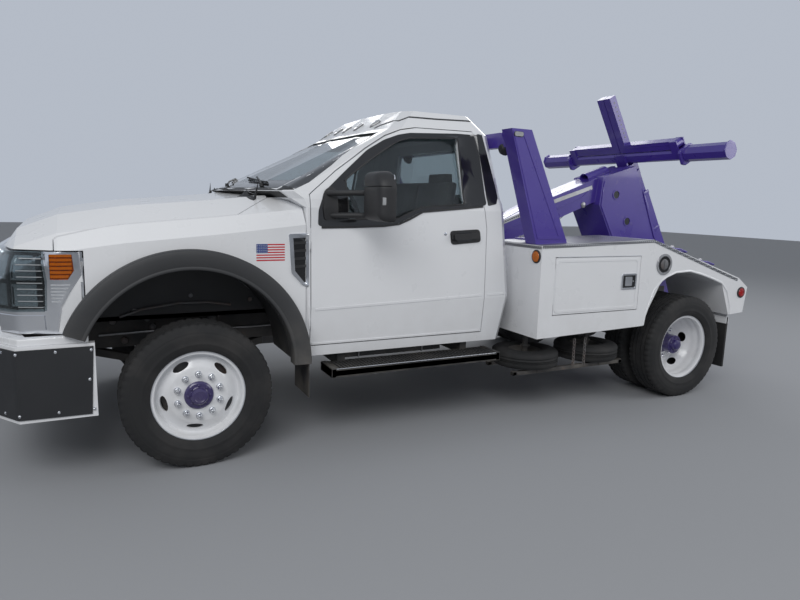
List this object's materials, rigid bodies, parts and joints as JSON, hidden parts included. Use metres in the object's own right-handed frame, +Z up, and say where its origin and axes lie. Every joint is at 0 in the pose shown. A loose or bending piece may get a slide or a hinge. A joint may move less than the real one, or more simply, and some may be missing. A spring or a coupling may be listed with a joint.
{
  "type": "tow truck",
  "caption": "Regular-cab tow truck with a wheel-lift: boom, folding and telescoping stinger, swivelling crossbar with claws, dual rear wheels and side toolboxes.",
  "frame": {"origin": "on the ground, at the middle of the truck's length and width", "axes": "+X forward, +Y to the driver's left, +Z up"},
  "size_m": [5.985, 2.82, 2.4935],
  "materials": {
    "white_paint": "gloss white",
    "purple_paint": "gloss purple",
    "chassis_black": "satin black",
    "cast_iron": "as cast",
    "steel": "dull",
    "chrome": "bright",
    "black_plastic": "grained black",
    "glass": "light tint",
    "vinyl": "grey vinyl",
    "tyre": "matt"
  },
  "bodies": {
    "chassis": {"frame_rails": "chassis_black", "front_axle": "chassis_black", "rear_axle": "chassis_black", "engine_block": "cast_iron", "driveline": "cast_iron", "fuel_tank": "black_plastic", "exhaust": "steel", "cab_shell": "white_paint", "windshield": "glass", "rear_window": "glass", "fender_left": "white_paint", "fender_right": "white_paint", "grille": "chrome", "bumper": "white_paint", "running_board_left": "black_plastic", "running_board_right": "black_plastic", "seat_bench": "vinyl", "dashboard": "vinyl", "body_side_left": "white_paint", "body_side_right": "white_paint", "deck": "purple_paint", "headboard": "purple_paint", "dolly_left": "steel", "dolly_right": "steel"},
    "knuckle_left": {"knuckle_left": "cast_iron"},
    "knuckle_right": {"knuckle_right": "cast_iron"},
    "wheel_front_left": {"rim_front_left": "white_paint", "tyre_front_left": "tyre"},
    "wheel_front_right": {"rim_front_right": "white_paint", "tyre_front_right": "tyre"},
    "wheels_rear_left": {"rims_rear_left": "white_paint", "tyre_rear_outer_left": "tyre", "tyre_rear_inner_left": "tyre"},
    "wheels_rear_right": {"rims_rear_right": "white_paint", "tyre_rear_outer_right": "tyre", "tyre_rear_inner_right": "tyre"},
    "door_left": {"door_left": "white_paint", "door_glass_left": "glass", "mirror_left": "black_plastic"},
    "door_right": {"door_right": "white_paint", "door_glass_right": "glass", "mirror_right": "black_plastic"},
    "hood": {"hood": "white_paint"},
    "toolbox_door_left": {"toolbox_door_left": "white_paint"},
    "toolbox_door_right": {"toolbox_door_right": "white_paint"},
    "boom": {"boom": "purple_paint"},
    "cylinder_barrel": {"cylinder_barrel": "chassis_black"},
    "cylinder_rod": {"cylinder_rod": "chrome"},
    "stinger_outer": {"stinger_outer": "purple_paint"},
    "stinger_inner": {"stinger_inner": "purple_paint"},
    "crossbar": {"crossbar": "purple_paint"},
    "claw_left": {"claw_left": "purple_paint"},
    "claw_right": {"claw_right": "purple_paint"}
  },
  "joints": [
    {"name": "steering_left", "type": "hinge", "parent": "chassis", "child": "knuckle_left", "pos_m": [1.9725, 0.775, 0.406], "axis": [0, 0, 1], "range_deg": [-35, 35]},
    {"name": "steering_right", "type": "hinge", "parent": "chassis", "child": "knuckle_right", "pos_m": [1.9725, -0.775, 0.406], "axis": [0, 0, 1], "range_deg": [-35, 35]},
    {"name": "front_wheel_left", "type": "hinge", "parent": "knuckle_left", "child": "wheel_front_left", "pos_m": [1.9725, 0.956, 0.406], "axis": [0, 1, 0], "continuous": true},
    {"name": "front_wheel_right", "type": "hinge", "parent": "knuckle_right", "child": "wheel_front_right", "pos_m": [1.9725, -0.956, 0.406], "axis": [0, 1, 0], "continuous": true},
    {"name": "rear_wheels_left", "type": "hinge", "parent": "chassis", "child": "wheels_rear_left", "pos_m": [-1.7175, 0.946, 0.406], "axis": [0, 1, 0], "continuous": true},
    {"name": "rear_wheels_right", "type": "hinge", "parent": "chassis", "child": "wheels_rear_right", "pos_m": [-1.7175, -0.946, 0.406], "axis": [0, 1, 0], "continuous": true},
    {"name": "door_left_hinge", "type": "hinge", "parent": "chassis", "child": "door_left", "pos_m": [1.3302, 1.012, 0.56], "axis": [0, 0, -1], "range_deg": [0, 65]},
    {"name": "door_right_hinge", "type": "hinge", "parent": "chassis", "child": "door_right", "pos_m": [1.3302, -1.012, 0.56], "axis": [0, 0, 1], "range_deg": [0, 65]},
    {"name": "hood_hinge", "type": "hinge", "parent": "chassis", "child": "hood", "pos_m": [1.6805, 0, 1.53002], "axis": [0, -1, 0], "range_deg": [0, 50]},
    {"name": "toolbox_left_hinge", "type": "hinge", "parent": "chassis", "child": "toolbox_door_left", "pos_m": [-0.32715, 1.2, 0.59], "axis": [0, 0, -1], "range_deg": [0, 100]},
    {"name": "toolbox_right_hinge", "type": "hinge", "parent": "chassis", "child": "toolbox_door_right", "pos_m": [-0.32715, -1.2, 0.59], "axis": [0, 0, 1], "range_deg": [0, 100]},
    {"name": "boom_hinge", "type": "hinge", "parent": "chassis", "child": "boom", "pos_m": [-0.3475, 0, 1.1], "axis": [0, -1, 0], "range_deg": [0, 10]},
    {"name": "cylinder_foot", "type": "hinge", "parent": "chassis", "child": "cylinder_barrel", "pos_m": [-0.8875, 0, 1.05], "axis": [0, -1, 0], "range_deg": [-1, 18]},
    {"name": "cylinder_slide", "type": "slide", "parent": "cylinder_barrel", "child": "cylinder_rod", "axis": [-0.818, 0, 0.5752], "range_m": [-0.06, 0.005]},
    {"name": "stinger_fold", "type": "hinge", "parent": "boom", "child": "stinger_outer", "pos_m": [-2.8775, 0, 0.66], "axis": [0, -1, 0], "range_deg": [0, 110]},
    {"name": "stinger_slide", "type": "slide", "parent": "stinger_outer", "child": "stinger_inner", "axis": [0.5, 0, 0.866], "range_m": [0, 0.5]},
    {"name": "crossbar_swivel", "type": "hinge", "parent": "stinger_inner", "child": "crossbar", "pos_m": [-2.1275, 0, 1.95904], "axis": [0.866, 0, -0.5], "range_deg": [-15, 15]},
    {"name": "claw_left_pivot", "type": "hinge", "parent": "crossbar", "child": "claw_left", "pos_m": [-2.07975, 0.62, 2.04174], "axis": [-0.866, 0, 0.5], "range_deg": [0, 90]},
    {"name": "claw_right_pivot", "type": "hinge", "parent": "crossbar", "child": "claw_right", "pos_m": [-2.07975, -0.62, 2.04174], "axis": [0.866, 0, -0.5], "range_deg": [0, 90]}
  ],
  "couplings": [
    {"joint": "cylinder_foot", "follows": "boom_hinge", "ratio": 1.6045},
    {"joint": "cylinder_slide", "follows": "boom_hinge", "m_per_rad": -0.2905}
  ]
}
